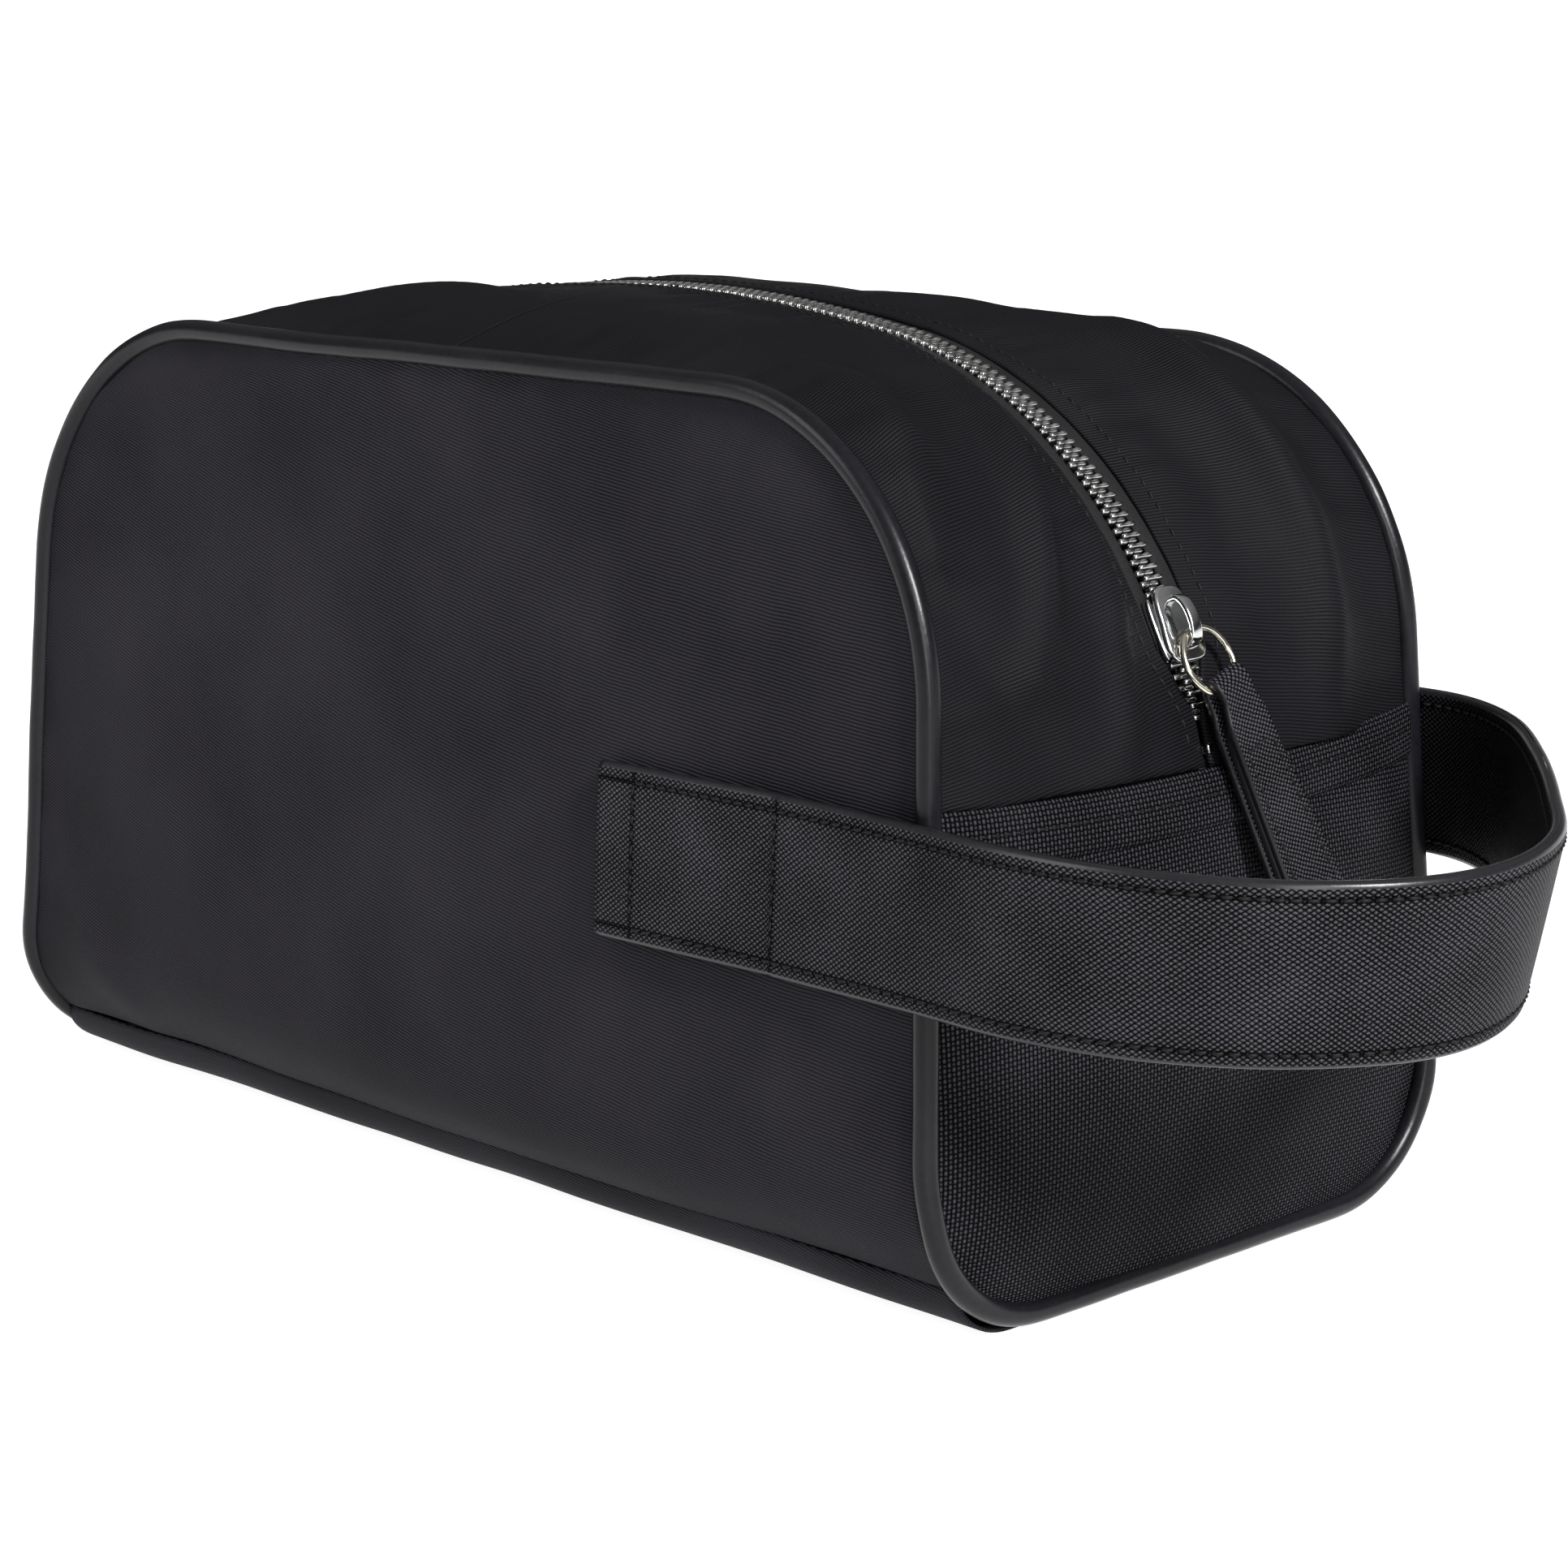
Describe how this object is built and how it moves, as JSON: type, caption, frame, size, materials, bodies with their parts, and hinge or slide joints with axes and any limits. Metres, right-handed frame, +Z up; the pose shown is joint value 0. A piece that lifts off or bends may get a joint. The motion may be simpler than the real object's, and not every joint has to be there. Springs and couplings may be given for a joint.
{
  "type": "zip wash bag",
  "caption": "Boxy zip-top wash bag: nylon body, canvas ends, piped edges, hinged zip mouth with slider and puller, and a sewn leather carry loop at one end.",
  "frame": {"origin": "middle of the flat underside, on the surface that the bag stands on", "axes": "+X along the zip towards the end with the carry loop, -Y the front, +Z up"},
  "size_m": [0.3504, 0.1454, 0.1661],
  "materials": {
    "nylon": "fine twill, satin",
    "canvas": "coarse basket weave, matt",
    "lining": "plain woven lining",
    "foam": "closed-cell foam sheet",
    "board": "thin flexible board",
    "piping": "smooth matt wrapped piping",
    "cord": "filler cord",
    "zip_tape": "herringbone zip tape",
    "zip_metal": "polished nickel",
    "ring_metal": "pale polished nickel",
    "filler": "leather core",
    "leather": "cross-grain embossed, painted edges"
  },
  "bodies": {
    "bag": {"front_panel": "nylon", "back_panel": "nylon", "bottom_panel": "nylon", "end_panel_right": "canvas", "end_panel_left": "canvas", "end_hem_right": "canvas", "end_hem_left": "canvas", "corner_gusset_front_right": "nylon", "corner_gusset_front_left": "nylon", "corner_gusset_back_right": "nylon", "corner_gusset_back_left": "nylon", "corner_linings": "lining", "front_foam": "foam", "back_foam": "foam", "bottom_board": "board", "lining_front": "lining", "lining_back": "lining", "lining_bottom": "lining", "lining_end_right": "lining", "lining_end_left": "lining", "piping_cover": "piping", "piping_cord": "cord", "zip_tape_ends": "zip_tape", "zip_teeth_ends": "zip_metal", "zip_stops": "zip_metal", "strap_tab_front": "leather", "strap_tab_back": "leather", "strap_flex_front": "leather", "strap_flex_back": "leather"},
    "front_flap": {"top_flap_front": "nylon", "flap_lining_front": "lining", "zip_tape_top_front": "zip_tape", "zip_teeth_top_front": "zip_metal"},
    "back_flap": {"top_flap_back": "nylon", "flap_lining_back": "lining", "zip_tape_top_back": "zip_tape", "zip_teeth_top_back": "zip_metal"},
    "slider": {"slider_body": "zip_metal", "slider_bail": "zip_metal"},
    "ring": {"pull_ring": "ring_metal"},
    "puller": {"puller_leather": "leather", "puller_filler": "filler"},
    "loop": {"strap_loop_outer": "leather", "strap_loop_inner": "leather"}
  },
  "joints": [
    {"name": "zip_travel", "type": "hinge", "parent": "bag", "child": "slider", "pos_m": [0, 0, 0.04816], "axis": [0, -1, 0], "range_deg": [0, 124], "deforming": ["zip_tape_ends", "zip_teeth_ends", "zip_stops"]},
    {"name": "front_flap", "type": "hinge", "parent": "bag", "child": "front_flap", "pos_m": [0, -0.06058, 0.156], "axis": [1, 0, 0], "range_deg": [0, 70]},
    {"name": "back_flap", "type": "hinge", "parent": "bag", "child": "back_flap", "pos_m": [0, 0.06058, 0.156], "axis": [-1, 0, 0], "range_deg": [0, 70]},
    {"name": "ring_swing", "type": "hinge", "parent": "slider", "child": "ring", "pos_m": [0.12717, 0, 0.11351], "axis": [0, -1, 0], "range_deg": [0, 160]},
    {"name": "puller_swing", "type": "hinge", "parent": "ring", "child": "puller", "pos_m": [0.13257, 0.00374, 0.10335], "axis": [0.1451, -0.9511, -0.2728], "range_deg": [0, 25]},
    {"name": "loop_swing", "type": "hinge", "parent": "bag", "child": "loop", "pos_m": [0.105, 0, 0.077], "axis": [0, -1, 0], "range_deg": [-15, 30], "deforming": ["strap_flex_front", "strap_flex_back"]}
  ],
  "couplings": [
    {"joint": "front_flap", "follows": "zip_travel", "ratio": 0.564},
    {"joint": "back_flap", "follows": "zip_travel", "ratio": 0.564},
    {"joint": "ring_swing", "follows": "zip_travel", "ratio": 1.29}
  ]
}
